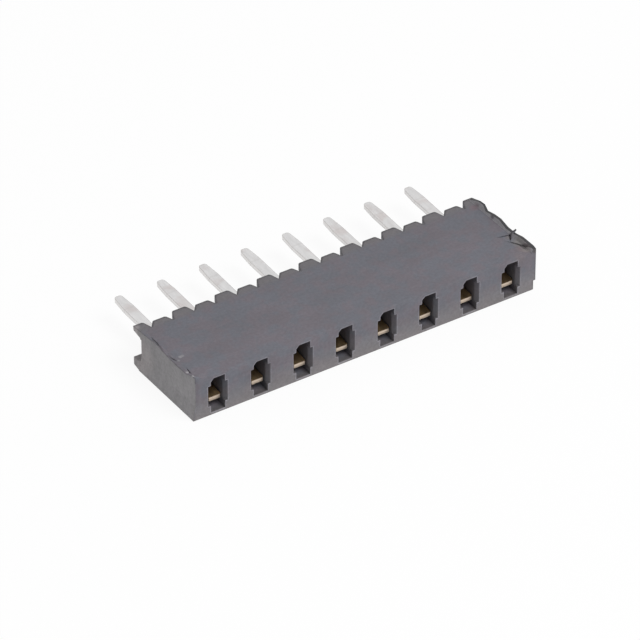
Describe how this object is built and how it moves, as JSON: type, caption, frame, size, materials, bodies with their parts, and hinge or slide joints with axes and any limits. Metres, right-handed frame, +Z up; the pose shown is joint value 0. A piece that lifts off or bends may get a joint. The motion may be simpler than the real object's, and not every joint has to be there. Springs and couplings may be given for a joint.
{
  "type": "female pin header strip",
  "caption": "Low-profile female pin header strip: moulded housing with a row of stamped spring contacts and flat solder tails, cut from a longer strip.",
  "frame": {"origin": "middle of the bounding box in X and Y, on the face that the strip lies on", "axes": "+X along the row from the cut end to the broken end, +Y from the mouths to the solder tails, +Z up"},
  "size_m": [0.0208, 0.0096, 0.0027],
  "materials": {
    "housing_plastic": "moulded dark grey thermoplastic, fine matt surface, cut at both ends",
    "contact_metal": "stamped copper alloy, dull tin plating on the tail and thin gold on the leaves"
  },
  "bodies": {
    "root": {"housing": "housing_plastic", "contact_1": "contact_metal", "contact_2": "contact_metal", "contact_3": "contact_metal", "contact_4": "contact_metal", "contact_5": "contact_metal", "contact_6": "contact_metal", "contact_7": "contact_metal", "contact_8": "contact_metal"}
  },
  "joints": []
}
